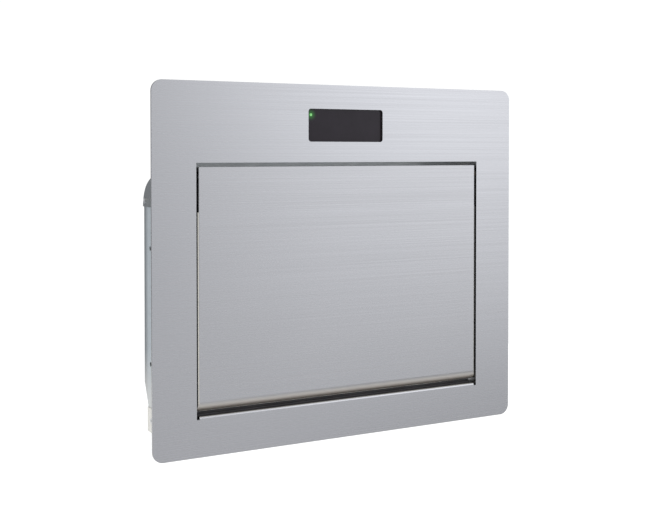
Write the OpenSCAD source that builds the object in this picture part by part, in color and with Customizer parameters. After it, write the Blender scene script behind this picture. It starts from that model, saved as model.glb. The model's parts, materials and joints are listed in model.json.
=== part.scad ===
// Library book drop: a through-wall fascia with a damped, lockable flap, a book tunnel behind it
// and an RFID reader with a status light above it.
// Frame: X right, Y into the wall, Z up. Origin on the wall face at the middle of the fascia.

/* [Opening] */
// Clear width of the flap opening
open_w = 456; // [380:2:560]
// Clear height of the flap opening
open_h = 337; // [280:1:420]

/* [Fascia] */
// Border between the opening and each side edge of the fascia
border_side = 62; // [50:1:90]
// Border between the opening and the top edge of the fascia
border_top = 108.5; // [104:0.5:140]
// Border between the opening and the bottom edge of the fascia
border_bottom = 54.5; // [48:0.5:90]
// Sheet thickness of the fascia
fascia_t = 3; // [2:0.5:4]
// Corner radius of the fascia
fascia_r = 15; // [6:1:30]
// Depth of the sill flange under the flap
sill_depth = 28; // [22:1:34]
// Bend relief beside the sill flange
relief = 4; // [2:0.5:6]
// Thickness of the foam seal against the wall
gasket_t = 2; // [1:0.5:4]

/* [Body] */
// Depth of the body behind the wall face
body_depth = 108; // [104:1:150]
// Width of each side cavity, which holds the hinge and lock gear
cavity_w = 28; // [28:1:40]
// Housing sheet thickness
sheet_t = 1.5; // [1:0.1:2]
// Radius of the hood at its rear top corner
hood_r = 38; // [30:1:46]
// Height of the hood above the opening, where it meets the fascia
hood_rise = 18; // [14:1:24]
// Height of the body below the opening
base_h = 35.5; // [33:0.5:46]

/* [Flap] */
// Gap at each side of the flap
flap_gap_side = 1.6; // [1.5:0.1:3]
// Gap above the flap
flap_gap_top = 5.7; // [5:0.1:8]
// Gap below the flap
flap_gap_bottom = 4.8; // [4:0.1:7]
// How far the flap face stands behind the fascia face
flap_recess = 0.7; // [0.5:0.1:3]
// Thickness of the flap
flap_t = 21.5; // [19:0.5:24]
// Outer radius of the rolled bottom edge
roll_r = 14; // [8:0.5:17]
// Flap skin thickness
skin_t = 1.5; // [1:0.1:2]
// Length of flap edge left unflanged beside the hinge
notch_h = 60; // [50:1:80]
// Opening angle of the flap
swing = 60; // [45:1:60]

/* [Hinge and damper] */
// Diameter of the hinge shaft
shaft_d = 10; // [8:0.5:12]
// Running clearance of shafts in their bores, on the radius
run_clear = 0.05; // [0.02:0.01:0.08]
// Gear module
gear_m = 1; // [0.8:0.1:1.1]
// Teeth of a full gear of the sector's radius
sector_teeth = 50; // [44:1:50]
// Teeth of the damper pinion
pinion_teeth = 14; // [14:1:18]
// Width of the gears
gear_w = 6; // [4:0.5:7]

/* [Lock] */
// Diameter of the lock bolt
bolt_d = 8; // [6:0.5:10]
// Travel of the lock bolt
bolt_travel = 8; // [6:0.5:9]

/* [Reader] */
// Width of the reader window
window_w = 121; // [90:1:150]
// Height of the reader window
window_h = 46; // [36:1:52]
// Distance from the top edge of the fascia to the window
window_drop = 33.8; // [28:0.1:36]
// Corner radius of the window
window_r = 4; // [2:0.5:8]
// Diameter of the status light
led_d = 4; // [3:0.5:5]

/* [Hidden] */
$fn = 64;

// Colours
steel = [0.74, 0.75, 0.77];
zinc = [0.60, 0.65, 0.70];
black = [0.12, 0.12, 0.13];
grey = [0.45, 0.46, 0.48];
white = [0.88, 0.88, 0.86];
brass = [0.80, 0.68, 0.38];
green = [0.25, 0.85, 0.25];
board = [0.10, 0.35, 0.20];

// Fascia and opening
fascia_w = open_w + 2 * border_side;
fascia_h = open_h + border_top + border_bottom;
back_y = -gasket_t;
front_y = back_y - fascia_t;
open_top = fascia_h / 2 - border_top;
open_bottom = open_top - open_h;
sill_w = open_w - 2 * relief;
sill_end = front_y + sill_depth;

// Body: a liner each side of the opening, a cavity, then a side panel
touch = 0.3;
liner_in = open_w / 2 + 1;
liner_out = liner_in + sheet_t;
panel_in = liner_out + cavity_w;
panel_out = panel_in + sheet_t;
hood_out = panel_out + 1.2;
body_bottom = open_bottom - base_h;
hood_front = [back_y, open_top + hood_rise];
hood_centre = [body_depth - hood_r, open_top - 61.5];
tray_depth = body_depth - 14;
taper_low = open_bottom;
taper_high = open_bottom + 30;
flange_w = 11.5;
flange_hole_x = panel_in - 6.5;

// Flap
flap_half = open_w / 2 - flap_gap_side;
notch_half = flap_half - 2.2;
flap_front = front_y + flap_recess;
flap_back = flap_front + flap_t;
panel_t = 1.2;
flap_top = open_top - flap_gap_top;
flap_bottom = open_bottom + flap_gap_bottom;
notch_z = flap_top - notch_h;
edge_r = 3;

// Hinge axis, in Y and Z, and what sits on it along X
shaft_r = shaft_d / 2;
hub_r = shaft_r + 3.5;
axis_y = max(flap_front + flap_t / 2, back_y + hub_r + 0.5);
axis_z = flap_top - 12.8;
spring_in = liner_out + 3;
spring_out = spring_in + 11;
gear_in = spring_out + 1;
gear_out = gear_in + gear_w;
shaft_end = gear_out + 4;

// Gear pair
sector_pr = gear_m * sector_teeth / 2;
pinion_pr = gear_m * pinion_teeth / 2;
centre_dist = sector_pr + pinion_pr;
damper_dir = 65;
damper_y = axis_y + centre_dist * sin(damper_dir);
damper_z = axis_z - centre_dist * cos(damper_dir);
damper_r = 12;
damper_h = 12;

// Stop arm and its buffers
arm_dir = 40;
arm_w = 8;
arm_r = 23;
post_r = 3;
buffer_r = 5;
buffer_dist = 18;
buffer_step = asin((arm_w / 2 + buffer_r + touch) / buffer_dist);

// Lock
bolt_r = bolt_d / 2;
bolt_y = axis_y + 2.8;
stud_z = [
    open_bottom - 9.5, open_bottom - 9.5 + (open_h - 52) / 3, open_bottom - 9.5 + 2 * (open_h - 52) / 3,
    open_top - 61.5, open_top + 5.5
];
lock_z = (stud_z[1] + stud_z[2]) / 2;
bolt_tip = liner_in + 0.5;
solenoid_in = liner_out + 8;
solenoid_half = 12;
solenoid_front = bolt_y - 8.5;
solenoid_back = bolt_y + 8.5;

// Reader, behind the window
window_z = fascia_h / 2 - window_drop - window_h / 2;
window_lap = 6;
window_gasket_t = 0.8;
window_t = 3;
window_y = back_y + window_gasket_t;
case_y = window_y + window_t;
case_depth = 24;
case_half = window_w / 2 + window_lap + 2;
case_half_h = window_h / 2 + 5.5;
case_ear = 11;
lug_t = 2;
led_x = -window_w / 2 + 5.5;
led_z = window_z + window_h / 2 - 8.4;

// Controller
ctrl_x0 = case_half + case_ear + 22;
ctrl_x1 = panel_in - 22;
ctrl_half_h = 26;
ctrl_depth = 34;
ctrl_wall = 2.5;
ctrl_lid_t = 3;
gland_x = ctrl_x0 + 30;
gland_bore = 4;

// Fasteners
stud_r = 2.5;
stud_len = 10;
nut_af = 8;
nut_h = 4;
hole_clear = 0.25;

// Studs on the back of the fascia, as [x, z, thickness under the nut]
side_studs = [for (s = [-1, 1], z = stud_z) [s * flange_hole_x, z, 2 * sheet_t]];
tray_studs = [for (x = [-150, 0, 150]) [x * open_w / 456, body_bottom + 10, sheet_t]];
hood_studs = [for (x = [-150, 0, 150]) [x * open_w / 456, hood_front[1] - 11, sheet_t]];
reader_studs = [for (s = [-1, 1], t = [-1, 1]) [s * (case_half + case_ear / 2), window_z + t * 14, lug_t]];
ctrl_studs = [for (x = [ctrl_x0 - 5.5, ctrl_x1 + 5.5], t = [-1, 1]) [x, window_z + t * 16, lug_t]];
all_studs = concat(side_studs, tray_studs, hood_studs, reader_studs, ctrl_studs);

// ---------------------------------------------------------------- helpers

// Extrudes a shape drawn in Y and Z along X, from x0 to x1
module along_x(x0, x1) {
    translate([x0, 0, 0]) rotate([90, 0, 90]) linear_extrude(x1 - x0) children();
}

// Extrudes a shape drawn in X and Z along Y, from y0 to y1
module along_y(y0, y1) {
    translate([0, y1, 0]) rotate([90, 0, 0]) linear_extrude(y1 - y0) children();
}

module box(low, high) {
    translate(low) cube(high - low);
}

module rod_x(x0, x1, y, z, r) {
    translate([x0, y, z]) rotate([0, 90, 0]) cylinder(h = x1 - x0, r = r);
}

module rod_y(y0, y1, x, z, r) {
    translate([x, y0, z]) rotate([-90, 0, 0]) cylinder(h = y1 - y0, r = r);
}

// A rectangle with round corners, centred
module round_rect(w, h, r) {
    square([w - 2 * r, h], center = true);
    square([w, h - 2 * r], center = true);
    for (sx = [-1, 1], sz = [-1, 1])
        translate([sx * (w / 2 - r), sz * (h / 2 - r)]) circle(r);
}

// Draws the left-hand piece from the right-hand one
module left_hand() {
    mirror([1, 0, 0]) children();
}

// A point at distance d from the hinge axis; 0 degrees hangs down and 90 points into the wall
function swing_point(d, a) = [axis_y + d * sin(a), axis_z - d * cos(a)];

// The direction in which the hood's slope touches its corner radius
hood_span = hood_front - hood_centre;
hood_dir = atan2(hood_span[1], hood_span[0]) - acos(hood_r / norm(hood_span));
hood_normal = [cos(hood_dir), sin(hood_dir)];
hood_edge = hood_front + 6 * [sin(hood_dir), -cos(hood_dir)];

// Height of the hood's outside at a depth, on its slope
function hood_at(y) = hood_front[1] - (y - back_y) * cos(hood_dir) / sin(hood_dir);

// Side view of the body, in Y and Z, drawn inset from its outside by i
module body_profile(i = 0) {
    r = hood_r - i;
    polygon([
        [back_y, body_bottom + i], [tray_depth - i, body_bottom + i], [tray_depth - i, taper_low],
        [body_depth - i, taper_high], [body_depth - i, hood_centre[1]], hood_centre,
        hood_centre + r * hood_normal, [back_y, hood_front[1] - i / sin(hood_dir)]
    ]);
    translate(hood_centre) circle(r, $fn = 96);
}

// A pan-head screw pointing along +Z, its head resting on z = 0
module pan_screw(d, length, head = 0) {
    head_r = head > 0 ? head : d * 0.95;
    translate([0, 0, -length]) cylinder(h = length, d = d);
    difference() {
        cylinder(h = d * 0.55, r = head_r);
        translate([0, 0, d * 0.3]) cross(d);
    }
}

// The driver's cross recess
module cross(d) {
    for (a = [0, 90]) rotate([0, 0, a]) translate([-d * 0.55, -d * 0.1, 0]) cube([d * 1.1, d * 0.2, d]);
}

module hex_nut(af, h, bore_r) {
    difference() {
        cylinder(h = h, d = af / cos(30), $fn = 6);
        translate([0, 0, -1]) cylinder(h = h + 2, r = bore_r);
    }
}

// ---------------------------------------------------------------- sweep along a route

function unit(v) = v / norm(v);
// A smooth curve through the points p, with n steps between neighbours
function catmull(a, b, c, d, t) = 0.5 * (2 * b + (c - a) * t + (2 * a - 5 * b + 4 * c - d) * t * t
    + (3 * b - a - 3 * c + d) * t * t * t);
function smooth_route(p, n) = let(m = len(p) - 1) concat(
    [for (i = [0:m - 1], k = [0:n - 1])
        catmull(p[max(i - 1, 0)], p[i], p[i + 1], p[min(i + 2, m)], k / n)],
    [p[m]]);
function tangents(p) = let(m = len(p) - 1) [for (i = [0:m]) unit(p[min(i + 1, m)] - p[max(i - 1, 0)])];
// Carries a side vector along the route without letting it spin
function side_step(s, t) = unit(s - t * (s * t));
function sides(t, s0) = [for (i = 0, s = side_step(s0, t[0]); i < len(t);
    i = i + 1, s = i < len(t) ? side_step(s, t[i]) : s) s];

module tube_along(p, r, s0 = [1, 0, 0], n = 6) {
    t = tangents(p);
    u = sides(t, s0);
    m = len(p);
    points = [for (i = [0:m - 1], k = [0:n - 1]) let(v = cross(t[i], u[i]), a = 360 * k / n)
        p[i] + r * (cos(a) * u[i] + sin(a) * v)];
    walls = [for (i = [0:m - 2], k = [0:n - 1]) let(j = (k + 1) % n)
        [i * n + k, (i + 1) * n + k, (i + 1) * n + j, i * n + j]];
    ends = [[for (k = [0:n - 1]) k], [for (k = [0:n - 1]) m * n - 1 - k]];
    polyhedron(points, concat(walls, ends), convexity = 6);
}

// ---------------------------------------------------------------- gears

function involute_at(base, r) = let(a = acos(base / r)) [tan(a) * 180 / PI - a, r];
// One tooth's outline as polar points [angle, radius], about angle 0
function tooth(pr, teeth, slack) = let(
    base = pr * cos(20), tip = pr + 0.8 * gear_m, root = pr - 1.1 * gear_m,
    at_pitch = involute_at(base, pr)[0],
    half = 90 / teeth - slack / pr * 90 / PI,
    low = max(base, root),
    flank = [for (k = [0:5]) let(f = involute_at(base, low + (tip - low) * k / 5))
        [half + at_pitch - f[0], f[1]]])
    concat([[-flank[0][0], root]], [for (k = [0:5]) [-flank[k][0], flank[k][1]]],
        [for (k = [5:-1:0]) flank[k]], [[flank[0][0], root]]);
function gear_points(pr, teeth, first, count, slack) = [for (k = [0:count - 1], q = tooth(pr, teeth, slack))
    let(a = q[0] + (first + k) * 360 / teeth) q[1] * [cos(a), sin(a)]];

// ---------------------------------------------------------------- fascia

module fascia_plate() color(steel) {
    difference() {
        union() {
            along_y(front_y, back_y) round_rect(fascia_w, fascia_h, fascia_r);
            along_x(-sill_w / 2, sill_w / 2) sill_shape();
        }
        // The opening, with a bend relief at each end of the sill
        box([-open_w / 2, front_y - 1, open_bottom], [open_w / 2, back_y + 1, open_top]);
        for (s = [-1, 1])
            box([s * (open_w / 2 - relief / 2) - relief / 2, front_y - 1, open_bottom - relief],
                [s * (open_w / 2 - relief / 2) + relief / 2, back_y + 1, open_bottom + 1]);
        // The bend under the sill's front edge
        along_x(-sill_w / 2, sill_w / 2) sill_bend_waste();
        // The reader's window
        along_y(front_y - 1, back_y + 1) translate([0, window_z]) round_rect(window_w, window_h, window_r);
    }
}

// The sill flange, level, from the fascia's face to its inner end
module sill_shape() {
    translate([front_y + fascia_t, open_bottom - fascia_t]) square([sill_depth - fascia_t, fascia_t]);
    translate([front_y + fascia_t, open_bottom - fascia_t]) circle(fascia_t);
}

// What the bend takes off the square front edge of the sill
module sill_bend_waste() {
    difference() {
        translate([front_y - 1, open_bottom - fascia_t]) square([fascia_t + 1, fascia_t + 1]);
        translate([front_y + fascia_t, open_bottom - fascia_t]) circle(fascia_t);
    }
}

module fascia_studs() color(zinc) {
    for (s = all_studs) rod_y(back_y, back_y + stud_len, s[0], s[1], stud_r);
}

module stud_nuts() color(zinc) {
    for (s = all_studs)
        translate([s[0], back_y + s[2], s[1]]) rotate([-90, 0, 0])
            hex_nut(nut_af, nut_h, stud_r + run_clear);
}

module stud_holes(studs, y0, y1) {
    for (s = studs) rod_y(y0, y1, s[0], s[1], stud_r + hole_clear);
}

module wall_gasket() color(black) {
    edge = 4;
    inner_w = 2 * (hood_out + 4.8);
    low = body_bottom - 3;
    high = fascia_h / 2 - 18;
    difference() {
        along_y(-gasket_t, 0) round_rect(fascia_w - 2 * edge, fascia_h - 2 * edge, fascia_r - edge);
        box([-inner_w / 2, -gasket_t - 1, low], [inner_w / 2, 1, high]);
    }
}

// ---------------------------------------------------------------- body

module side_panel() color(zinc) {
    relief_low = axis_z - 14;
    relief_high = axis_z + 14;
    difference() {
        union() {
            along_x(panel_in, panel_out) difference() {
                body_profile();
                translate([back_y - 1, body_bottom - 1]) square([body_depth, 1 + sheet_t]);
            }
            // Front flange, over the liner's
            box([panel_in - flange_w, back_y + sheet_t, body_bottom + sheet_t],
                [panel_in, back_y + 2 * sheet_t, relief_low]);
            box([panel_in - flange_w, back_y + sheet_t, relief_high],
                [panel_in, back_y + 2 * sheet_t, hood_front[1] - 6]);
            // Rear flange, for the cavity cover
            box([panel_in - flange_w, body_depth - 2 * sheet_t, taper_high + 4],
                [panel_in, body_depth - sheet_t, hood_centre[1] - 2]);
        }
        stud_holes(side_studs, back_y, back_y + 3 * sheet_t);
        for (p = panel_screw_places) rod_x(panel_in - 1, panel_out + 1, p[0], p[1], 2);
        for (p = wall_fixings) rod_x(panel_in - 1, panel_out + 1, p[0], p[1], wall_fixing_r);
        for (z = cover_screw_z) rod_y(body_depth - 3 * sheet_t, body_depth, flange_hole_x, z, 1.75);
    }
}

// Screw holes through each side panel into the wall's reveal
wall_fixing_r = 3.3;
wall_fixing_span_z = 160;
wall_fixing_span_y = 40;
wall_fixing_mid = [64, (open_top + open_bottom) / 2 - 30];
wall_fixings = [for (a = [-1, 1], b = [-1, 1])
    wall_fixing_mid + [a * wall_fixing_span_y / 2, b * wall_fixing_span_z / 2]];

hood_screw_places = [[24, hood_at(24) - 9], [62, hood_at(62) - 9], [body_depth - 9, hood_centre[1] + 8]];
tray_screw_places = [[20, body_bottom + 18], [tray_depth - 20, body_bottom + 18]];
panel_screw_places = concat(hood_screw_places, tray_screw_places);
cover_screw_z = [for (k = [0:2]) taper_high + 16 + k * (hood_centre[1] - taper_high - 32) / 2];

module tunnel_liner() color(steel) {
    inset = sheet_t + touch;
    relief_low = axis_z - 14;
    relief_high = axis_z + 14;
    difference() {
        union() {
            along_x(liner_in, liner_out) intersection() {
                body_profile(inset);
                translate([back_y, body_bottom + sheet_t])
                    square([body_depth - sheet_t - touch - back_y, fascia_h]);
            }
            // Front flange against the fascia
            box([liner_out, back_y, body_bottom + sheet_t + touch],
                [panel_in - touch, back_y + sheet_t, relief_low]);
            box([liner_out, back_y, relief_high],
                [panel_in - touch, back_y + sheet_t, hood_front[1] - 6]);
        }
        stud_holes(side_studs, back_y - 1, back_y + 2 * sheet_t);
        rod_x(liner_in - 1, liner_out + 1, axis_y, axis_z, shaft_r + 2);
    }
}

module tunnel_liner_left() difference() {
    left_hand() tunnel_liner();
    for (s = [-1, 1]) rod_x(-liner_out - 1, -liner_in + 1, damper_y, damper_z + s * damper_ear, 1.5);
    rod_x(-liner_out - 1, -liner_in + 1, lead_low[1], lead_low[2], lead_r + 0.5);
    post_hole(-liner_out - 1, -liner_in + 1, spring_post);
}

module tunnel_liner_right() difference() {
    tunnel_liner();
    rod_x(liner_in - 1, liner_out + 1, bolt_y, lock_z, bolt_r + 0.5);
    for (s = [-1, 1]) rod_x(liner_in - 1, liner_out + 1, bolt_y, lock_z + s * 20, 1.5);
    for (p = [closed_post, open_post, spring_post]) post_hole(liner_in - 1, liner_out + 1, p);
    for (s = [-1, 1]) rod_x(liner_in - 1, liner_out + 1, sensor_at[0] + s * 8, sensor_at[1], 1.5);
}

module post_hole(x0, x1, p) rod_x(x0, x1, p[0], p[1], 2);

module top_hood() color(zinc) difference() {
    union() {
        // The sheet over the top and round the rear corner
        along_x(-panel_in, panel_in) intersection() {
            difference() {
                body_profile();
                body_profile(sheet_t);
            }
            translate([back_y, hood_centre[1]]) square([body_depth + 1, fascia_h]);
        }
        // End flanges outside the side panels
        for (s = [0, 1]) mirror([s, 0, 0]) along_x(panel_out, hood_out) intersection() {
            body_profile();
            translate([back_y + 4, hood_centre[1]]) square([body_depth + 1, fascia_h]);
        }
        // The fold from the top sheet to each end flange
        for (s = [0, 1]) mirror([s, 0, 0]) along_x(panel_in - 4, hood_out) difference() {
            hood_fold(sheet_t);
            body_profile();
        }
        // Front flange against the fascia
        box([-liner_in + 4, back_y, hood_front[1] - 16.5],
            [liner_in - 4, back_y + sheet_t, hood_front[1] - 1.2]);
    }
    stud_holes(hood_studs, back_y - 1, back_y + 2 * sheet_t);
    for (s = [-1, 1], p = hood_screw_places)
        rod_x(s * (panel_out + hood_out) / 2 - 2, s * (panel_out + hood_out) / 2 + 2, p[0], p[1], 2);
    for (s = [-1, 1]) grommet_place(s) cylinder(h = 12, r = grommet_r, center = true);
}

// The strip that wraps over the edge of a side panel
module hood_fold(t) intersection() {
    union() {
        polygon([
            hood_edge, hood_edge + t * hood_normal, hood_centre + (hood_r + t) * hood_normal, hood_centre
        ]);
        translate(hood_centre) circle(hood_r + t, $fn = 96);
    }
    translate([back_y + 4, hood_centre[1]]) square([body_depth + t, fascia_h]);
}

module panel_screws() color(zinc) for (s = [-1, 1], p = panel_screw_places)
    translate([s * hood_out, p[0], p[1]]) rotate([0, s * 90, 0]) pan_screw(3.8, 6);

module cavity_cover() color(zinc) difference() {
    box([liner_out + touch, body_depth - sheet_t, taper_high + 1],
        [panel_in - touch, body_depth, hood_centre[1] - touch]);
    for (z = cover_screw_z) rod_y(body_depth - 3 * sheet_t, body_depth + 1, flange_hole_x, z, 1.75);
}

module cover_screws() color(zinc) for (s = [-1, 1], z = cover_screw_z)
    translate([s * flange_hole_x, body_depth, z]) rotate([-90, 0, 0]) pan_screw(3.4, 8);

module base_tray() color(zinc) {
    rear_z = floor_at(tray_depth) - floor_t - 1;
    difference() {
        union() {
            box([-hood_out, back_y, body_bottom], [hood_out, tray_depth, body_bottom + sheet_t]);
            // Side flanges outside the side panels
            for (s = [0, 1]) mirror([s, 0, 0]) along_x(panel_out, hood_out) intersection() {
                body_profile();
                translate([back_y, body_bottom]) square([body_depth, base_h - 2]);
            }
            box([-liner_in + 3, back_y, body_bottom], [liner_in - 3, back_y + sheet_t, body_bottom + 17]);
            box([-liner_in + touch, tray_depth - sheet_t, body_bottom],
                [liner_in - touch, tray_depth, rear_z]);
        }
        stud_holes(tray_studs, back_y - 1, back_y + 2 * sheet_t);
        for (p = standoff_places) translate([p[0], p[1], body_bottom - 1]) cylinder(h = 4, r = 1.6);
        for (s = [-1, 1], p = tray_screw_places)
            rod_x(s * (panel_out + hood_out) / 2 - 2, s * (panel_out + hood_out) / 2 + 2, p[0], p[1], 2);
    }
}

// ---------------------------------------------------------------- chute and antenna

floor_t = 4;
floor_y0 = sill_end + 0.8;
floor_y1 = body_depth - 4;
floor_slope = 10;
function floor_at(y) = open_bottom - 1.5 - (y - floor_y0) * tan(floor_slope);
antenna_z = floor_at(tray_depth - 9) - floor_t - 5.5;
antenna_half = liner_in - 39;
antenna_y0 = sill_end + 5;
antenna_y1 = tray_depth - 9;
standoff_places = [for (s = [-1, 1], y = [antenna_y0 + 8, antenna_y1 - 8]) [s * (antenna_half - 10), y]];

module chute_floor() color(white) {
    half = liner_in - touch;
    difference() {
        union() {
            along_x(-half, half) polygon([
                [floor_y0, floor_at(floor_y0)], [floor_y1, floor_at(floor_y1)],
                [floor_y1, floor_at(floor_y1) - floor_t], [floor_y0, floor_at(floor_y0) - floor_t]
            ]);
            // Feet that stand on the tray
            for (x = floor_feet) along_x(x - 5, x + 5) polygon([
                [antenna_y0, body_bottom + sheet_t], [antenna_y1, body_bottom + sheet_t],
                [antenna_y1, floor_at(antenna_y1) - 1], [antenna_y0, floor_at(antenna_y0) - 1]
            ]);
        }
        for (x = floor_feet) translate([x, floor_screw_y, 0]) {
            translate([0, 0, floor_at(floor_screw_y) - 2.4]) cylinder(h = 10, r = 4.2);
            translate([0, 0, floor_at(floor_screw_y) - 16]) cylinder(h = 20, r = 1.75);
        }
        // The antenna lead passes through the left foot
        rod_x(floor_feet[0] - 6, floor_feet[0] + 6, lead_low[1], lead_low[2], lead_r + 0.5);
    }
}
floor_feet = [-antenna_half - 18, antenna_half + 18];
floor_screw_y = antenna_y0 + 12;

module floor_screws() color(zinc) for (x = floor_feet)
    translate([x, floor_screw_y, floor_at(floor_screw_y) - 2.4]) pan_screw(3.4, 13);

module rfid_antenna() color(board) difference() {
    union() {
        box([-antenna_half, antenna_y0, antenna_z], [antenna_half, antenna_y1, antenna_z + 2.4]);
        // The antenna's printed loop and its tuning can
        difference() {
            box([-antenna_half + 18, antenna_y0 + 3, antenna_z + 2.4],
                [antenna_half - 18, antenna_y1 - 3, antenna_z + 2.8]);
            box([-antenna_half + 26, antenna_y0 + 9, antenna_z + 2],
                [antenna_half - 26, antenna_y1 - 9, antenna_z + 3]);
        }
    }
    for (p = standoff_places) translate([p[0], p[1], antenna_z - 1]) cylinder(h = 5, r = 1.6);
}

module antenna_standoffs() color(white) for (p = standoff_places) translate([p[0], p[1], 0]) {
    translate([0, 0, body_bottom + sheet_t]) cylinder(h = antenna_z - body_bottom - sheet_t, r = 3.5);
    translate([0, 0, body_bottom]) cylinder(h = sheet_t, r = 1.5);
    translate([0, 0, antenna_z]) cylinder(h = 4, r = 1.5);
    translate([0, 0, antenna_z + 2.4]) cylinder(h = 1.6, r = 2.6);
}

// A lipped rubber strip along the sill, just under the flap's rolled edge
module sill_seal() color(black) along_x(-sill_w / 2 + 1, sill_w / 2 - 1) {
    y = front_y + roll_r;
    translate([y - 5, open_bottom]) square([12, 1.4]);
    translate([y - 1, open_bottom]) square([2, flap_gap_bottom - 1.5]);
    translate([y, open_bottom + flap_gap_bottom - 1.5]) circle(1);
}

// ---------------------------------------------------------------- hinge

module hinge_bushes() color(brass) for (s = [0, 1]) mirror([s, 0, 0]) difference() {
    union() {
        rod_x(liner_in - 1, liner_out, axis_y, axis_z, shaft_r + 2);
        rod_x(liner_out, liner_out + 2, axis_y, axis_z, hub_r);
    }
    rod_x(liner_in - 2, liner_out + 3, axis_y, axis_z, shaft_r + run_clear);
}

ring_x = shaft_end - 2;
ring_t = 1;
groove_r = shaft_r - 0.8;
module hinge_shaft() color(steel) difference() {
    rod_x(-shaft_end, shaft_end, axis_y, axis_z, shaft_r);
    for (s = [-1, 1]) difference() {
        rod_x(s * ring_x - ring_t / 2 - 0.1, s * ring_x + ring_t / 2 + 0.1, axis_y, axis_z, shaft_r + 1);
        rod_x(s * ring_x - ring_t, s * ring_x + ring_t, axis_y, axis_z, groove_r);
    }
}

// Open retaining rings in the shaft's grooves
module shaft_rings() color(zinc) for (s = [-1, 1]) difference() {
    rod_x(s * ring_x - ring_t / 2, s * ring_x + ring_t / 2, axis_y, axis_z, shaft_r + 2.8);
    rod_x(s * ring_x - ring_t, s * ring_x + ring_t, axis_y, axis_z, groove_r + 0.05);
    box([s * ring_x - ring_t, axis_y - groove_r + 0.8, axis_z - shaft_r - 4],
        [s * ring_x + ring_t, axis_y + groove_r - 0.8, axis_z]);
}

// Sector gear on the left end of the shaft, meshing with the damper's pinion
sector_count = 12;
sector_lead = 8;
module sector_gear() color(grey) difference() {
    union() {
        along_x(-gear_out, -gear_in) difference() {
            union() {
                translate([axis_y, axis_z]) polygon(concat([[0, 0]], sector_outline()));
                translate([axis_y, axis_z]) circle(hub_r);
            }
            // Lightening slot
            translate(swing_point(sector_pr * 0.62, damper_dir - swing / 2)) circle(3.4);
        }
        rod_x(-gear_out - 0.8, -gear_in + 0.6, axis_y, axis_z, hub_r);
    }
    rod_x(-gear_out - 2, -gear_in + 2, axis_y, axis_z, shaft_r + 0.02);
    left_hand() tail_hole();
}

// Teeth from just past the damper's direction back through the swing; in Y and Z from the axis
function sector_outline() = let(step = 360 / sector_teeth, mesh = damper_dir - 90,
    first = -ceil((swing + sector_lead) / step), count = ceil((swing + 2 * sector_lead) / step) + 1)
    [for (p = gear_points(sector_pr, sector_teeth, first, count, 0.12))
        [p[0] * cos(mesh) - p[1] * sin(mesh), p[0] * sin(mesh) + p[1] * cos(mesh)]];

// The damper's pinion and stub shaft; a gap between teeth faces the sector at rest
module damper_pinion() color(white) {
    along_x(-gear_out, -gear_in) translate([damper_y, damper_z])
        rotate(damper_dir - 90 + 180 + 180 / pinion_teeth)
            polygon(gear_points(pinion_pr, pinion_teeth, 0, pinion_teeth, 0.12));
    rod_x(-gear_out - 1, -liner_out - damper_h + 6, damper_y, damper_z, 3);
}

damper_ear = 17;
module rotary_damper() color(black) difference() {
    union() {
        rod_x(-liner_out - damper_h, -liner_out, damper_y, damper_z, damper_r);
        rod_x(-liner_out - damper_h - 1, -liner_out - damper_h, damper_y, damper_z, 5);
        along_x(-liner_out - 2, -liner_out) {
            translate([damper_y - 5, damper_z - damper_ear]) square([10, 2 * damper_ear]);
            for (s = [-1, 1]) translate([damper_y, damper_z + s * damper_ear]) circle(5);
        }
    }
    rod_x(-liner_out - damper_h - 2, -liner_out - damper_h + 7, damper_y, damper_z, 3 + run_clear);
    for (s = [-1, 1]) rod_x(-liner_out - 3, -liner_out + 1, damper_y, damper_z + s * damper_ear, 1.5);
}

module damper_screws() color(zinc) for (s = [-1, 1])
    translate([-liner_out - 2, damper_y, damper_z + s * damper_ear]) rotate([0, -90, 0]) pan_screw(2.9, 4);

closed_post = swing_point(buffer_dist, arm_dir - buffer_step);
open_post = swing_point(buffer_dist, arm_dir + swing + buffer_step);
spring_post = swing_point(buffer_dist, 42);

// Posts on the liners: two hold the buffers, and each spring's fixed leg presses on a short one
module buffer_posts() color(zinc) {
    for (p = [closed_post, open_post]) one_post(p, gear_out + 1);
    for (s = [0, 1]) mirror([s, 0, 0]) one_post(spring_post, spring_in + 5);
}

module one_post(p, x1) {
    rod_x(liner_out, x1, p[0], p[1], post_r);
    rod_x(liner_in + 0.2, liner_out, p[0], p[1], 1.9);
}

module buffer(p) color(black) difference() {
    rod_x(gear_in - 0.5, gear_out + 0.5, p[0], p[1], buffer_r);
    rod_x(gear_in - 1, gear_out + 1, p[0], p[1], post_r + 0.02);
}

module stop_arm() color(grey) difference() {
    union() {
        along_x(gear_in, gear_out) {
            translate([axis_y, axis_z]) rotate(arm_dir - 90) translate([0, -arm_w / 2])
                square([arm_r - arm_w / 2, arm_w]);
            translate(swing_point(arm_r - arm_w / 2, arm_dir)) circle(arm_w / 2);
        }
        rod_x(gear_in - 0.6, gear_out + 0.8, axis_y, axis_z, hub_r);
    }
    rod_x(gear_in - 2, gear_out + 2, axis_y, axis_z, shaft_r + 0.02);
    tail_hole();
}

// Torsion springs round the shaft: a fixed leg presses on a post, and the other end enters a turning hub
wire_r = 0.8;
coil_r = shaft_r + 1.7;
coil_turns = 5;
coil_steps = 12;
hook_r = 1.4;
leg_tilt = 42 - asin((coil_r + wire_r + post_r + 0.15) / buffer_dist);
tail_dir = leg_tilt + hook_r / coil_r * 180 / PI;
tail_at = [axis_y + coil_r * cos(tail_dir), axis_z + coil_r * sin(tail_dir)];

function coil_point(x, a) = [x, axis_y + coil_r * cos(a), axis_z + coil_r * sin(a)];

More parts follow.
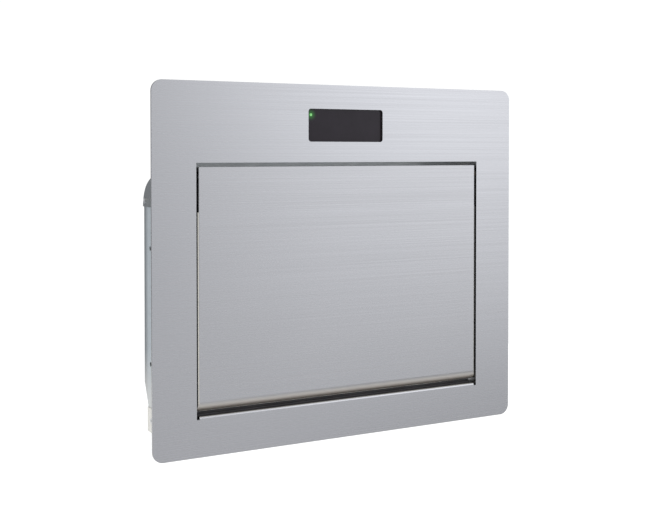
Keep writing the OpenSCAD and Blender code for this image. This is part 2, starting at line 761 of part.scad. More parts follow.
module return_spring() {
    x0 = spring_in + wire_r;
    x1 = spring_out - wire_r - 0.2;
    start = coil_point(x0, leg_tilt);
    steps = coil_turns * coil_steps;
    leg = [for (l = [20:-4:4]) start + l * [0, sin(leg_tilt), -cos(leg_tilt)]];
    coil = [for (k = [0:steps])
        coil_point(x0 + (x1 - x0) * k / steps, leg_tilt + 360 * coil_turns * k / steps)];
    // A quarter bend, then straight along the axis
    hook = [for (a = [30:30:90])
        coil_point(x1 + hook_r * (1 - cos(a)), leg_tilt + hook_r * sin(a) / coil_r * 180 / PI)];
    tube_along(concat(leg, coil, hook, [coil_point(x1 + hook_r + 1.8, tail_dir)]), wire_r, [1, 0, 0], 6);
}

// The hole for a spring's end in a hub on the shaft
module tail_hole() rod_x(gear_in - 2, gear_in + 1.7, tail_at[0], tail_at[1], wire_r + 0.15);

module return_springs() color(grey) {
    return_spring();
    left_hand() return_spring();
}

// ---------------------------------------------------------------- flap sensor

sensor_at = swing_point(31, arm_dir);
module sensor_bracket() color(zinc) difference() {
    y = sensor_at[0];
    z = sensor_at[1];
    union() {
        box([liner_out, y - 12, z - 6], [liner_out + 1.5, y + 12, z + 6]);
        box([liner_out, y - 12, z - 6], [gear_out + 4, y + 12, z - 4.5]);
    }
    for (s = [-1, 1]) rod_x(liner_out - 1, liner_out + 3, y + s * 8, z, 1.5);
}

// An inductive sensor that sees the stop arm's tip when the flap is shut
module flap_sensor() color(black)
    box([gear_in - 4, sensor_at[0] - 5, sensor_at[1] - 4.5],
        [gear_out + 2, sensor_at[0] + 9, sensor_at[1] + 3]);

// ---------------------------------------------------------------- lock

module lock_bracket() color(zinc) difference() {
    arm_z = solenoid_half + sheet_t / 2;
    union() {
        box([liner_out, solenoid_front + 1, lock_z - 25], [liner_out + sheet_t, solenoid_back, lock_z + 25]);
        for (s = [-1, 1])
            box([liner_out, solenoid_front + 1, lock_z + s * arm_z - sheet_t / 2],
                [panel_in - 2, solenoid_back, lock_z + s * arm_z + sheet_t / 2]);
    }
    rod_x(liner_out - 1, liner_out + 3, bolt_y, lock_z, bolt_r + 0.5);
    for (s = [-1, 1]) rod_x(liner_out - 1, liner_out + 3, bolt_y, lock_z + s * 20, 1.5);
    for (s = [-1, 1])
        translate([panel_in - 8, bolt_y, lock_z + s * arm_z]) cylinder(h = 4, r = 1.5, center = true);
}

module lock_solenoid() color(grey) difference() {
    union() {
        for (x = [solenoid_in, panel_in - 3])
            box([x, solenoid_front, lock_z - solenoid_half], [x + 2, solenoid_back, lock_z + solenoid_half]);
        for (s = [-1, 1])
            box([solenoid_in, solenoid_front, lock_z + s * (solenoid_half - 1) - 1],
                [panel_in - 1, solenoid_back, lock_z + s * (solenoid_half - 1) + 1]);
        rod_x(solenoid_in + 1, panel_in - 2, bolt_y, lock_z, 8);
        // Terminal for the lead
        box([grommet_x, bolt_y + 6, lock_z - 5], [grommet_x + 8, solenoid_back + 2, lock_z + 5]);
    }
    rod_x(solenoid_in - 1, panel_in - 1.6, bolt_y, lock_z, bolt_r + run_clear);
    for (s = [-1, 1])
        translate([panel_in - 8, bolt_y, lock_z + s * (solenoid_half - 1)])
            cylinder(h = 4, r = 1.5, center = true);
}

// Two screws hold the bracket to the liner and two hold the solenoid in it
module lock_screws() color(zinc) {
    for (s = [-1, 1])
        translate([liner_out + sheet_t, bolt_y, lock_z + s * 20]) rotate([0, 90, 0]) pan_screw(2.9, 3);
    for (s = [-1, 1]) translate([panel_in - 8, bolt_y, lock_z + s * (solenoid_half + sheet_t)])
        rotate([s > 0 ? 0 : 180, 0, 0]) pan_screw(2.9, 3.4);
}

module lock_bolt() color(steel) {
    chamfer = 1;
    rod_x(bolt_tip + chamfer, panel_in - 2, bolt_y, lock_z, bolt_r);
    translate([bolt_tip, bolt_y, lock_z]) rotate([0, 90, 0])
        cylinder(h = chamfer, r1 = bolt_r - chamfer, r2 = bolt_r);
}

// ---------------------------------------------------------------- flap

// The flap's side view, in Y and Z, inset by i from the outside of its skin
module flap_profile(i) {
    r = roll_r - i;
    y = flap_front + roll_r;
    z = flap_bottom + roll_r;
    translate([flap_front + i, z]) square([flap_t - panel_t - i, flap_top - i - z]);
    translate([y, flap_bottom + i]) square([flap_t - panel_t - roll_r, roll_r + 1]);
    translate([y, z]) circle(r);
}

// The flap's plan, in X and Y, with round front edges
module flap_plan(half, front, r) {
    back = flap_back - panel_t;
    translate([-half + r, front]) square([2 * (half - r), back - front]);
    translate([-half, front + r]) square([2 * half, back - front - r]);
    for (s = [-1, 1]) translate([s * (half - r), front + r]) circle(r);
}

module flap_block(half, front, r, i, open) {
    intersection() {
        along_x(-half, half) union() {
            flap_profile(i);
            // The cavity runs out through the back
            if (open) translate([flap_back - panel_t - 1, flap_bottom + i])
                square([2, flap_top - flap_bottom - 2 * i]);
        }
        translate([0, 0, flap_bottom]) linear_extrude(flap_top - flap_bottom)
            union() {
                flap_plan(half, front, r);
                if (open) translate([-half, flap_back - panel_t - 1]) square([2 * half, 2]);
            }
    }
}

module flap_skin() color(steel) difference() {
    flap_block(flap_half, flap_front, edge_r, 0, false);
    flap_block(flap_half - skin_t, flap_front + skin_t, edge_r - skin_t, skin_t, true);
    // No side flange beside the hinge
    for (s = [-1, 1])
        box([s * (notch_half + 5) - 5, flap_front - 1, notch_z],
            [s * (notch_half + 5) + 5, flap_back, flap_top + 1]);
    rod_x(flap_half - 5, flap_half + 5, bolt_y, lock_z, bolt_r + 0.6);
}

module flap_back_panel() color(zinc) difference() {
    y = flap_back - panel_t;
    union() {
        box([-flap_half, y, flap_bottom], [flap_half, flap_back, notch_z]);
        box([-notch_half, y, notch_z - 1], [notch_half, flap_back, flap_top]);
    }
    for (p = concat(rivet_places, block_screw_places)) rod_y(y - 1, flap_back + 1, p[0], p[1], 1.7);
}

rib_x = [-flap_half * 0.5, 0, flap_half * 0.5];
rib_low = flap_bottom + roll_r + 6;
rib_high = axis_z - 24;
rib_flange = 16;
rivet_step = (rib_high - rib_low - 20) / 4;
rivet_places = [for (x = rib_x, k = [0:4]) [x + rib_flange / 2, rib_low + 10 + k * rivet_step]];

// Z-section stiffeners between the skin and the back panel
module flap_ribs() color(zinc) for (k = [0:2]) difference() {
    y0 = flap_front + skin_t;
    y1 = flap_back - panel_t;
    t = 1.2;
    x = rib_x[k];
    union() {
        box([x - t, y0, rib_low], [x, y1, rib_high]);
        box([x - t - rib_flange + 2, y0, rib_low], [x - t + 0.1, y0 + t, rib_high]);
        box([x - 0.1, y1 - t, rib_low], [x + rib_flange, y1, rib_high]);
    }
    for (p = rivet_places) rod_y(y1 - 3, y1 + 1, p[0], p[1], 1.7);
}

module panel_rivets() color(zinc) for (p = rivet_places) {
    rod_y(flap_back - panel_t - 2.4, flap_back, p[0], p[1], 1.65);
    translate([p[0], flap_back, p[1]]) rotate([-90, 0, 0]) intersection() {
        cylinder(h = 1.3, r = 3.2);
        translate([0, 0, -3.4]) sphere(4.7);
    }
}

// Blocks that carry the shaft inside the flap
block_half = 16;
block_x = [-flap_half + 40, 0, flap_half - 40];
block_low = axis_z - 10;
block_screw_places = [for (x = block_x, s = [-1, 1]) [x + s * 9, block_low - 1]];
module hinge_blocks() color(grey) for (x = block_x) difference() {
    box([x - block_half, flap_front + skin_t, block_low - 6],
        [x + block_half, flap_back - panel_t, flap_top - skin_t - 0.4]);
    rod_x(x - block_half - 1, x + block_half + 1, axis_y, axis_z, shaft_r + 0.02);
    for (p = block_screw_places) rod_y(flap_back - panel_t - 7, flap_back, p[0], p[1], 1.7);
}

module block_screws() color(zinc) for (p = block_screw_places)
    translate([p[0], flap_back, p[1]]) rotate([-90, 0, 0]) pan_screw(3.3, 6);

// Hardened plate behind the skin where the bolt enters
module strike_plate() color(grey) {
    x1 = flap_half - skin_t;
    difference() {
        box([x1 - 2, flap_front + edge_r + 1.4, lock_z - 16], [x1, flap_back - panel_t - 0.4, lock_z + 16]);
        rod_x(x1 - 3, x1 + 1, bolt_y, lock_z, bolt_r + 0.6);
    }
}

// ---------------------------------------------------------------- reader

module window_gasket() color(black) along_y(back_y, window_y) translate([0, window_z]) difference() {
    round_rect(window_w + 2 * window_lap, window_h + 5, window_r + 1);
    round_rect(window_w + 1, window_h + 1, window_r + 0.5);
}

module reader_window() color([0.16, 0.15, 0.17]) difference() {
    along_y(window_y, window_y + window_t) translate([0, window_z])
        round_rect(window_w + 2 * window_lap, window_h + 5, window_r + 1);
    rod_y(window_y - 1, window_y + window_t + 1, led_x, led_z, led_d / 2);
}

module reader_case() color(black) {
    reader_shell();
    // Pillars that hold the board
    for (s = [-1, 1], t = [-1, 1]) rod_y(case_y + 11.6, case_y + case_depth - 1.5,
        s * (case_half - 9), window_z + t * (case_half_h - 9), 3);
}

module reader_shell() difference() {
    wall = 2;
    union() {
        along_y(back_y, case_y + case_depth) translate([0, window_z])
            round_rect(2 * case_half, 2 * case_half_h, 4);
        along_y(back_y, back_y + lug_t) translate([0, window_z])
            round_rect(2 * (case_half + case_ear), 2 * case_half_h - 12, 4);
    }
    along_y(back_y - 1, case_y + case_depth - wall) translate([0, window_z])
        round_rect(2 * (case_half - wall), 2 * (case_half_h - wall), 2);
    stud_holes(reader_studs, back_y - 1, back_y + 3);
    // Where the leads leave at each end
    for (s = [-1, 1])
        rod_x(s * case_half - 4, s * case_half + 4, reader_lead_at[1], reader_lead_at[2], lead_r + 0.3);
}

module reader_board() color(board) {
    y = case_y + 10;
    half = case_half - 5;
    half_h = case_half_h - 4;
    box([-half, y, window_z - half_h], [half, y + 1.6, window_z + half_h]);
    // Connector, processor, inductor and sounder
    box([half - 16, y + 1.6, window_z - 6], [half - 4, y + 8, window_z + 6]);
    box([-8, y + 1.6, window_z - 8], [8, y + 3.2, window_z + 8]);
    box([-half + 4, y + 1.6, window_z - 6], [-half + 16, y + 8, window_z + 6]);
    rod_y(y + 1.6, y + 7, 26, window_z, 6);
}

module status_led() color(green) {
    r = led_d / 2 - 0.02;
    rod_y(window_y - 0.4, case_y + 10, led_x, led_z, r);
    rod_y(case_y + 0.2, case_y + 1.2, led_x, led_z, r + 0.6);
}

// ---------------------------------------------------------------- controller

module controller_case() color(grey) difference() {
    z0 = window_z - ctrl_half_h;
    z1 = window_z + ctrl_half_h;
    union() {
        box([ctrl_x0, back_y, z0], [ctrl_x1, back_y + ctrl_depth, z1]);
        box([ctrl_x0 - 11, back_y, window_z - 22], [ctrl_x1 + 11, back_y + 2, window_z + 22]);
    }
    box([ctrl_x0 + ctrl_wall, back_y + 2, z0 + ctrl_wall],
        [ctrl_x1 - ctrl_wall, back_y + ctrl_depth + 1, z1 - ctrl_wall]);
    stud_holes(ctrl_studs, back_y - 1, back_y + 3);
    rod_x(ctrl_x0 - 1, ctrl_x0 + ctrl_wall + 1, ctrl_entry[1], ctrl_entry[2], lead_r + 0.3);
    translate([relay_x, ctrl_entry[1], z0 - 1]) cylinder(h = ctrl_wall + 2, r = lead_r + 0.3);
}

lid_screw_places = [for (a = [0, 1], t = [-1, 1])
    [a == 0 ? ctrl_x0 + 6.5 : ctrl_x1 - 6.5, window_z + t * (ctrl_half_h - 6.5)]];

module controller_lid() color(grey) difference() {
    y = back_y + ctrl_depth;
    union() {
        along_y(y, y + ctrl_lid_t) translate([(ctrl_x0 + ctrl_x1) / 2, window_z])
            round_rect(ctrl_x1 - ctrl_x0, 2 * ctrl_half_h, 3);
        for (p = lid_screw_places) rod_y(back_y + 2, y, p[0], p[1], 3.4);
    }
    for (p = lid_screw_places) rod_y(y - 9, y + 5, p[0], p[1], 1.5);
    rod_y(y - 1, y + 5, gland_x, window_z, 8);
}

module lid_screws() color(zinc) for (p = lid_screw_places)
    translate([p[0], back_y + ctrl_depth + ctrl_lid_t, p[1]]) rotate([-90, 0, 0]) pan_screw(2.9, 9);

module controller_board() color(board) {
    y = back_y + 8;
    x0 = ctrl_x0 + 12;
    x1 = ctrl_x1 - 12;
    box([x0, y, window_z - 21], [x1, y + 1.6, window_z + 21]);
    for (x = [x0 + 4, x1 - 4], t = [-1, 1]) rod_y(back_y + 2, y, x, window_z + t * 17, 2.5);
    // Relay, processor and power stage
    box([relay_x - 9, y + 1.6, window_z - 2], [relay_x + 9, y + 15, window_z + 12]);
    box([x0 + 14, y + 1.6, window_z - 8], [x0 + 26, y + 3, window_z + 4]);
    for (k = [0:2]) rod_y(y + 1.6, y + 12, x0 + 45 + 9 * k, window_z - 12, 3.6);
}

module terminal_block() color([0.15, 0.45, 0.25]) difference() {
    x0 = ctrl_x0 + 16;
    y = back_y + 9.6;
    box([x0, y, window_z + 8], [x0 + 30, y + 10, window_z + 19]);
    for (k = [0:5]) rod_y(y + 6, y + 11, x0 + 2.5 + 5 * k, window_z + 14, 1.6);
}

// Gland for the supply and data cable, and its locknut inside the lid
module cable_gland() color(black) {
    y = back_y + ctrl_depth + ctrl_lid_t;
    difference() {
        union() {
            rod_y(y - ctrl_lid_t - 6, y, gland_x, window_z, 7.9);
            translate([gland_x, y, window_z]) rotate([-90, 0, 0]) cylinder(h = 5, d = 22, $fn = 6);
            rod_y(y + 5, y + 15, gland_x, window_z, 9);
        }
        rod_y(y - 20, y + 20, gland_x, window_z, gland_bore);
    }
}

module gland_nut() color(black) {
    y = back_y + ctrl_depth;
    translate([gland_x, y - 5, window_z]) rotate([-90, 0, 0]) hex_nut(19, 5, 7.95);
}

// ---------------------------------------------------------------- leads

lead_r = 2;
grommet_y = 56;
grommet_x = panel_in - 14.5;
grommet_r = 5;
reader_lead_at = [case_half, case_y + 14, window_z];
connector_x = case_half - 9;
ctrl_entry = [ctrl_x0, back_y + 14.6, window_z + 12];
relay_x = ctrl_x1 - 33;
lead_low = [-liner_in, 60, antenna_z + 1.2];

// Places children on the hood's slope, with +Z out of the hood
module grommet_place(s)
    translate([s * grommet_x, grommet_y, hood_at(grommet_y)]) rotate([hood_dir - 90, 0, 0]) children();

module lead_grommets() color(black) for (s = [-1, 1]) grommet_place(s) difference() {
    union() {
        translate([0, 0, -sheet_t]) cylinder(h = sheet_t, r = grommet_r);
        cylinder(h = 2, r = grommet_r + 2);
        translate([0, 0, -sheet_t - 2]) cylinder(h = 2, r = grommet_r + 2);
    }
    cylinder(h = 20, r = lead_r + 0.3, center = true);
}

// The hood's outward direction, in X, Y and Z
hood_up = [0, hood_normal[0], hood_normal[1]];
function hole_point(s, d) = [s * grommet_x, grommet_y, hood_at(grommet_y)] + d * hood_up;

lock_route = [
    [relay_x, ctrl_entry[1], window_z - 2], [relay_x, ctrl_entry[1], window_z - ctrl_half_h + 2],
    [relay_x, ctrl_entry[1], window_z - ctrl_half_h - 2], [relay_x + 8, 24, window_z - ctrl_half_h - 9],
    hole_point(1, 12), hole_point(1, 4), hole_point(1, -6), hole_point(1, -14),
    [grommet_x, 52, open_top - 60], [grommet_x + 2, 46, open_top - 130],
    [grommet_x + 3, 38, lock_z + 30], [grommet_x + 4, 30, lock_z + 6],
    [grommet_x + 4, solenoid_back + 7, lock_z + 1], [grommet_x + 4, solenoid_back + 2, lock_z]
];
antenna_route = [
    [-connector_x, case_y + 14, window_z], [-case_half, case_y + 14, window_z],
    [-case_half - 12, case_y + 15, window_z - 1],
    [-case_half - 60, 36, window_z - 16], [-grommet_x + 40, 50, window_z - 34],
    hole_point(-1, 12), hole_point(-1, 4), hole_point(-1, -6), hole_point(-1, -14),
    [-grommet_x, 68, open_top - 60], [-grommet_x, 72, open_top - 150], [-grommet_x, 72, open_bottom + 60],
    [-grommet_x, 66, open_bottom + 10], [-grommet_x + 3, 60, lead_low[2] + 8],
    [-grommet_x + 9, 60, lead_low[2]],
    [-liner_in, 60, lead_low[2]], [-antenna_half - 10, 60, lead_low[2]], [-antenna_half, 60, lead_low[2]]
];
reader_route = [
    [connector_x, reader_lead_at[1], reader_lead_at[2]], reader_lead_at, reader_lead_at + [7, 0, 0],
    [(case_half + ctrl_x0) / 2, reader_lead_at[1] + 1, (reader_lead_at[2] + ctrl_entry[2]) / 2],
    ctrl_entry - [7, 0, 0], ctrl_entry, ctrl_entry + [16, 0, 0]
];

module reader_lead() color(black) tube_along(smooth_route(reader_route, 4), lead_r, [0, 1, 0]);
module lock_lead() color([0.5, 0.1, 0.1]) tube_along(smooth_route(lock_route, 4), lead_r, [0, 1, 0]);
module antenna_lead() color(black) tube_along(smooth_route(antenna_route, 4), lead_r, [0, 1, 0]);

// ---------------------------------------------------------------- nodes

fascia_plate();
fascia_studs();
stud_nuts();
wall_gasket();
left_hand() side_panel();  // side_panel_left
side_panel();  // side_panel_right
top_hood();
panel_screws();
tunnel_liner_left();
tunnel_liner_right();
left_hand() cavity_cover();  // cavity_cover_left
cavity_cover();  // cavity_cover_right
cover_screws();
base_tray();
chute_floor();
floor_screws();
rfid_antenna();
antenna_standoffs();
sill_seal();
hinge_bushes();
shaft_rings();
rotary_damper();
damper_screws();
buffer_posts();
buffer(closed_post);  // closed_buffer
buffer(open_post);  // open_buffer
flap_sensor();
sensor_bracket();
lock_bracket();
lock_solenoid();
lock_screws();
window_gasket();
reader_window();
reader_case();
reader_board();
status_led();
controller_case();
controller_lid();
controller_board();
terminal_block();
lid_screws();
cable_gland();
gland_nut();
lead_grommets();
reader_lead();
antenna_lead();
lock_lead();
flap_skin();
flap_back_panel();
flap_ribs();
panel_rivets();
hinge_blocks();
block_screws();
hinge_shaft();
sector_gear();
stop_arm();
return_springs();
strike_plate();
damper_pinion();
lock_bolt();
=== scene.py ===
import bpy, bmesh, json, math
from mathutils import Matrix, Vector


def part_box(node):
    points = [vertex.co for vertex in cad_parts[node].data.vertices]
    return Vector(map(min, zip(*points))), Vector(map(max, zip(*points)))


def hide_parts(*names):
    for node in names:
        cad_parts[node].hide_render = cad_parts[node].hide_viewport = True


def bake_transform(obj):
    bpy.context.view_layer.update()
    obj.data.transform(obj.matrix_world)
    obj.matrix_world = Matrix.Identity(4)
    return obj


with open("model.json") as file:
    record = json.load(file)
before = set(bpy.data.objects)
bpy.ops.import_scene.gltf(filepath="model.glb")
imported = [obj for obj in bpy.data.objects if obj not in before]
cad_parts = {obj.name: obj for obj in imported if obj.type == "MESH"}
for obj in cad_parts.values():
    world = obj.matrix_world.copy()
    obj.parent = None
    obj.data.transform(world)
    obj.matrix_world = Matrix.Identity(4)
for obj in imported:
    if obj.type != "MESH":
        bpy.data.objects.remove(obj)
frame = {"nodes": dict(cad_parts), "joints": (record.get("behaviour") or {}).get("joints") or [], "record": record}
scene = bpy.context.scene
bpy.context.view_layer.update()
N = frame["nodes"]

# ---------------------------------------------------------------- places, all taken from the frame
fascia_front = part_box("fascia_plate")[0].y
flap_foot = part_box("flap_skin")[0].z
panel_lo, panel_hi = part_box("side_panel_left")
led_lo, led_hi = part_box("status_led")
hinge = Vector({j["name"]: j for j in frame["joints"]}["flap_swing"]["pos_m"])

# ---------------------------------------------------------------- node helpers


class Tree:
    """Short ways to make and join shader nodes in one node tree."""

    def __init__(self, tree):
        self.t = tree

    def new(self, kind, **props):
        n = self.t.nodes.new("ShaderNode" + kind)
        for k, v in props.items():
            setattr(n, k, v)
        return n

    def link(self, a, b):
        self.t.links.new(a, b)

    def feed(self, value, socket):
        """Sets a number, or links another node's output."""
        if isinstance(value, (int, float)):
            socket.default_value = value
        else:
            self.link(value, socket)

    def math(self, op, *values):
        n = self.new("Math", operation=op)
        for i, v in enumerate(values):
            self.feed(v, n.inputs[i])
        return n.outputs[0]


class Mat(Tree):
    """A material with a Principled shader and short ways to add noise, ramps and bump."""

    def __init__(self, name):
        self.m = bpy.data.materials.new(name)
        self.m.use_nodes = True
        super().__init__(self.m.node_tree)
        self.p = self.t.nodes["Principled BSDF"]
        self.co = self.new("TexCoord").outputs["Object"]

    def set(self, **values):
        for k, v in values.items():
            self.p.inputs[k.replace("_", " ")].default_value = v
        return self

    def mapped(self, scale, location=(0, 0, 0), rotation=(0, 0, 0)):
        n = self.new("Mapping")
        n.inputs["Scale"].default_value = scale
        n.inputs["Location"].default_value = location
        n.inputs["Rotation"].default_value = rotation
        self.link(self.co, n.inputs["Vector"])
        return n.outputs["Vector"]

    def noise(self, scale=(1, 1, 1), size=1.0, detail=3.0, rough=0.55, location=(0, 0, 0)):
        n = self.new("TexNoise")
        n.inputs["Scale"].default_value = size
        n.inputs["Detail"].default_value = detail
        n.inputs["Roughness"].default_value = rough
        self.link(self.mapped(scale, location), n.inputs["Vector"])
        return n.outputs["Fac"]

    def cells(self, scale):
        n = self.new("TexVoronoi")
        n.inputs["Scale"].default_value = scale
        self.link(self.co, n.inputs["Vector"])
        return n.outputs["Distance"]

    def along(self, axis):
        """The object's own X, Y or Z."""
        n = self.new("SeparateXYZ")
        self.link(self.co, n.inputs[0])
        return n.outputs[axis]

    def spread(self, fac, low, high, a=0.3, b=0.7):
        """Maps a to b onto low to high."""
        n = self.new("MapRange")
        for k, v in (("From Min", a), ("From Max", b), ("To Min", low), ("To Max", high)):
            n.inputs[k].default_value = v
        self.link(fac, n.inputs["Value"])
        return n.outputs["Result"]

    def blend(self, fac, one, two):
        n = self.new("Mix", data_type="RGBA")
        for k, v in (("A", one), ("B", two)):
            s = [x for x in n.inputs if x.name == k and x.type == "RGBA"][0]
            if isinstance(v, tuple):
                s.default_value = v + (1,)
            else:
                self.link(v, s)
        self.feed(fac, n.inputs["Factor"])
        return [x for x in n.outputs if x.type == "RGBA"][0]

    def base(self, c):
        self.link(c, self.p.inputs["Base Color"])
        return self

    def rough(self, c):
        self.link(c, self.p.inputs["Roughness"])
        return self

    def glows(self, colour, strength):
        self.link(colour, self.p.inputs["Emission Color"])
        self.p.inputs["Emission Strength"].default_value = strength

    def bump(self, height, strength, distance):
        n = self.new("Bump")
        n.inputs["Strength"].default_value = strength
        n.inputs["Distance"].default_value = distance
        self.link(height, n.inputs["Height"])
        self.link(n.outputs["Normal"], self.p.inputs["Normal"])


def grey(v, tint=0.0):
    return (v * (1 - tint), v, v * (1 + tint))


def shade(colour, factor):
    return tuple(min(1, c * factor) for c in colour)


def brushed(name, rough, tone=0.40, tint=0.01, axis="x", rolled=None):
    """Satin stainless sheet: long fine strokes along one axis, faint cloudy tone, sparse deeper strokes."""
    contrast, grain = 0.02, 0.05
    low_f, high_f = 0.36, 0.64
    m = Mat(name).set(Metallic=1.0)

    def stroke(length, across):
        return tuple(length if a == axis else across for a in "xyz")

    fine = m.noise(stroke(3, 1700), detail=2.0, rough=0.6)
    broad = m.noise(stroke(0.35, 420), detail=2.0, rough=0.5, location=(3, 7, 1))
    cloud = m.noise((3.0, 3.0, 3.0), detail=2.0, location=(11, 2, 5))
    mixed = m.math("ADD", m.math("MULTIPLY", fine, 0.68), m.math("MULTIPLY", broad, 0.32))
    col = m.blend(m.spread(mixed, 0.0, 1.0, low_f, high_f),
                  grey(tone * (1 - contrast), tint), grey(tone * (1 + contrast), tint))
    col = m.blend(m.spread(cloud, 0.0, 0.35), col, grey(tone * 0.93, tint * 1.6))
    satin = m.spread(mixed, rough[1], rough[0], low_f, high_f)
    if rolled:
        # The rolled edge is rougher towards its underside, and painted shade makes its colour darker and warmer
        # there
        start, end = rolled
        underside_shade_and_rough = m.spread(m.along("Z"), 0.0, 1.0, start, end)
        col = m.blend(underside_shade_and_rough, col, grey(tone * 0.80, -0.09))
        satin = m.math("ADD", satin, m.math("MULTIPLY", underside_shade_and_rough, 0.30))
    m.base(col)
    m.rough(satin)
    m.bump(mixed, grain, 0.00006)
    return m.m


def painted(name, colour, rough, metallic, tone_and_shade_fades=()):
    """Powder-coated or plated sheet: fine orange peel, faint dust, small tone drift."""
    speck, wear = 0.04, 0.25
    m = Mat(name).set(Metallic=metallic)
    peel = m.noise(size=900.0, detail=2.0)
    drift = m.noise(size=9.0, detail=3.0, location=(5, 1, 2))
    dust = m.noise(size=60.0, detail=5.0, rough=0.7, location=(1, 8, 3))
    col = m.blend(m.spread(drift, 0, 1), shade(colour, 1 - speck * 2), shade(colour, 1 + speck))
    col = m.blend(m.spread(dust, 0, wear * 0.4, 0.52, 0.75), col, shade(colour, 0.75))
    for axis, start, end, other in tone_and_shade_fades:
        # The colour shifts towards another along one axis of the sheet; on the side panels this is painted shade
        # towards the rear edge and a lighter tone towards the bottom
        col = m.blend(m.spread(m.along(axis), 0.0, 1.0, start, end), col, other)
    m.base(col)
    m.rough(m.spread(dust, rough * 0.85, rough * 1.2))
    m.bump(peel, 0.15, 0.0001)
    return m.m


def plastic(name, colour, rough, grain=700.0, grain_depth=0.15):
    """Moulded plastic: spark-eroded texture, slight tone drift and rubbed patches."""
    m = Mat(name).set(Specular_IOR_Level=0.5)
    pits = m.noise(size=grain, detail=3.0)
    drift = m.noise(size=14.0, detail=2.0, location=(2, 9, 4))
    m.base(m.blend(m.spread(drift, 0, 1), shade(colour, 0.88), shade(colour, 1.08)))
    m.rough(m.spread(drift, rough * 0.85, min(1, rough * 1.2)))
    m.bump(pits, grain_depth, 0.0001)
    return m.m


def rubber(name, colour, rough, cells):
    """Rubber or foam: small open cells and a patchy dull surface."""
    m = Mat(name).set(Specular_IOR_Level=0.35)
    cell = m.cells(cells)
    drift = m.noise(size=25.0, detail=4.0)
    m.base(m.blend(m.spread(drift, 0, 1), shade(colour, 0.8), shade(colour, 1.35)))
    m.rough(m.spread(drift, rough * 0.9, min(1, rough * 1.15)))
    m.bump(cell, 0.3, 0.0002)
    return m.m


def plated(name, colour, rough, depth=0.14):
    """Zinc plate or turned steel: bright metal with a crystalline mottling."""
    m = Mat(name).set(Metallic=1.0)
    drift = m.noise(size=40.0, detail=4.0)
    f = m.math("ADD", m.math("MULTIPLY", m.cells(240.0), 0.4), m.math("MULTIPLY", drift, 0.6))
    m.base(m.blend(m.spread(f, 0, 1), shade(colour, 1 - depth), shade(colour, 1 + depth / 2)))
    m.rough(m.spread(f, rough[0], rough[1]))
    m.bump(f, 0.57 * depth, 0.0001)
    return m.m


def circuit(name):
    """Solder mask with copper tracks showing as lighter lines, and bare pads."""
    m = Mat(name).set(Coat_Weight=0.3)
    brick = m.new("TexBrick", offset=0.37)
    for k, v in (("Scale", 1.0), ("Mortar Size", 0.0005), ("Brick Width", 0.011),
                 ("Row Height", 0.0027), ("Color1", (0.035, 0.17, 0.085, 1)),
                 ("Color2", (0.03, 0.145, 0.075, 1)), ("Mortar", (0.10, 0.32, 0.16, 1))):
        brick.inputs[k].default_value = v
    m.link(m.mapped((1, 1, 1), rotation=(math.pi / 2, 0, 0)), brick.inputs["Vector"])
    pads = m.cells(260.0)
    m.base(m.blend(m.spread(pads, 1.0, 0.0, 0.10, 0.16), brick.outputs["Color"], (0.72, 0.62, 0.35)))
    m.rough(m.spread(pads, 0.25, 0.42, 0.1, 0.5))
    m.bump(pads, 0.05, 0.0001)
    return m.m


def smoked(name):
    """Smoked acrylic: nearly black, polished, with haze, hairline swirls and a glow round the light."""
    glow_edge, glow_core = 0.012, 0.001
    m = Mat(name).set(IOR=1.49, Specular_IOR_Level=0.17)
    haze = m.noise(size=30.0, detail=3.0)
    swirl = m.noise((260, 40, 300), detail=3.0, rough=0.7)
    m.base(m.blend(m.spread(haze, 0, 1), (0.010, 0.0075, 0.011), (0.014, 0.011, 0.016)))
    m.rough(m.spread(swirl, 0.05, 0.12))
    m.bump(swirl, 0.02, 0.00005)
    away = m.new("VectorMath", operation="DISTANCE")
    m.link(m.mapped((1, 0, 1)), away.inputs[0])
    away.inputs[1].default_value = ((led_lo.x + led_hi.x) / 2, 0, (led_lo.z + led_hi.z) / 2)
    near = m.new("MapRange", interpolation_type="SMOOTHERSTEP")
    near.inputs["From Min"].default_value = glow_edge
    near.inputs["From Max"].default_value = glow_core
    m.link(away.outputs["Value"], near.inputs["Value"])
    falling = m.math("MULTIPLY", near.outputs["Result"], near.outputs["Result"])
    m.glows(m.blend(falling, (0, 0, 0), (0.018, 0.15, 0.018)), 0.7)
    return m.m


def lit(name):
    """The lit lens: green, with a fine grain in its glow."""
    m = Mat(name).set(Roughness=0.25)
    grainy = m.spread(m.noise(size=500.0, detail=1.0), 0, 1)
    m.glows(m.blend(grainy, (0.13, 0.33, 0.11), (0.22, 0.48, 0.19)), 0.9)
    m.base(m.blend(grainy, (0.03, 0.22, 0.03), (0.05, 0.30, 0.05)))
    return m.m


# ---------------------------------------------------------------- materials for every CAD node
steel_face = brushed("fascia_steel", (0.21, 0.29), tint=0.014)
# The flap's rolled foot carries painted shade, darker and warmer towards its underside
steel_flap = brushed("flap_steel", (0.22, 0.31), tint=0.012,
                     rolled=(flap_foot + 0.0145, flap_foot + 0.004))
steel_liner = brushed("liner_steel", (0.32, 0.5), axis="z")
casing = painted("casing_coat", (0.27, 0.30, 0.335), 0.34, 0.55)
